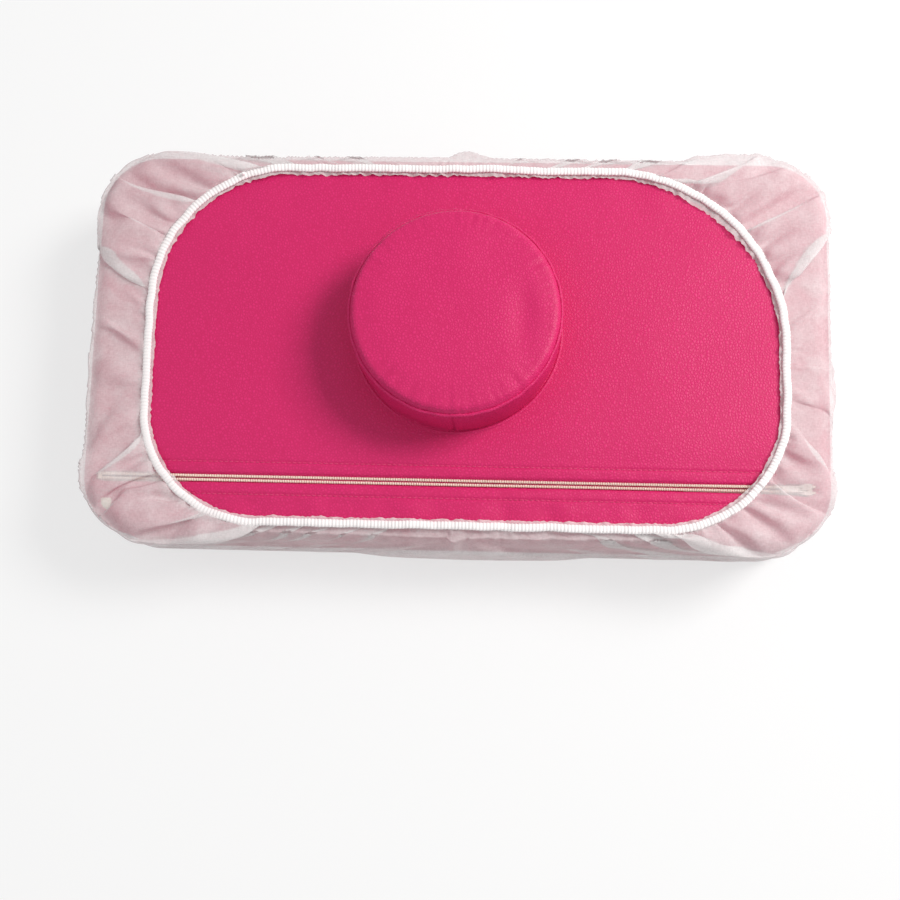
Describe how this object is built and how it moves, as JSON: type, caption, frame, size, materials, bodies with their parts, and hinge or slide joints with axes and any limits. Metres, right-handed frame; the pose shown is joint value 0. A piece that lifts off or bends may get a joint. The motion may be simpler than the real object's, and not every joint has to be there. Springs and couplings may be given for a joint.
{
  "type": "face cradle cushion",
  "caption": "Rectangular foam cushion for a massage table with a round plug on its underside, a zip along one long edge and a gathered disposable cloth cover.",
  "frame": {"origin": "centre of the covered cushion in plan, on the surface that its working face lies on", "axes": "+X along the length towards the closed end of the zip, +Y across the width away from the zip, +Z out of the underside along the plug. The cushion is stored lying on its working face; in use it is turned over, with the plug pointing down into the table."},
  "size_m": [0.614, 0.334, 0.1261],
  "materials": {
    "leather_cloth": "satin",
    "foam": "matte",
    "sewing_thread": "matte",
    "zip_tape": "matte",
    "zip_nylon": "satin",
    "slider_metal": "satin",
    "nonwoven_cloth": "matte",
    "elastic": "matte",
    "overlock_thread": "matte"
  },
  "bodies": {
    "cushion": {"foam_block": "foam", "plug_foam": "foam", "face_panel": "leather_cloth", "side_band_front": "leather_cloth", "side_band_back": "leather_cloth", "back_panel": "leather_cloth", "zip_strip_panel": "leather_cloth", "plug_band": "leather_cloth", "plug_end_panel": "leather_cloth", "plug_rim_seam": "leather_cloth", "plug_base_seam": "leather_cloth", "plug_band_seam": "leather_cloth", "stitch_row_back": "sewing_thread", "stitch_row_front": "sewing_thread", "zip_tape_back": "zip_tape", "zip_tape_front": "zip_tape", "zip_coil_back": "zip_nylon", "zip_coil_front": "zip_nylon", "zip_bottom_stop": "zip_nylon", "zip_top_stops": "zip_nylon", "nonwoven_cover": "nonwoven_cloth", "hem_elastic": "elastic", "hem_overlock": "overlock_thread", "hem_knot": "overlock_thread"},
    "zip_slider": {"zip_slider_body": "slider_metal"},
    "pull_tab": {"zip_pull_tab": "slider_metal"}
  },
  "joints": [
    {"name": "zip_slide", "type": "slide", "parent": "cushion", "child": "zip_slider", "axis": [-1, 0, 0], "range_m": [0, 0.5515], "deforming": ["zip_coil_back", "zip_coil_front"]},
    {"name": "tab_hinge", "type": "hinge", "parent": "zip_slider", "child": "pull_tab", "pos_m": [0.2749, -0.114, 0.0783], "axis": [0, 1, 0], "range_deg": [0, 176], "deforming": ["nonwoven_cover"]}
  ]
}
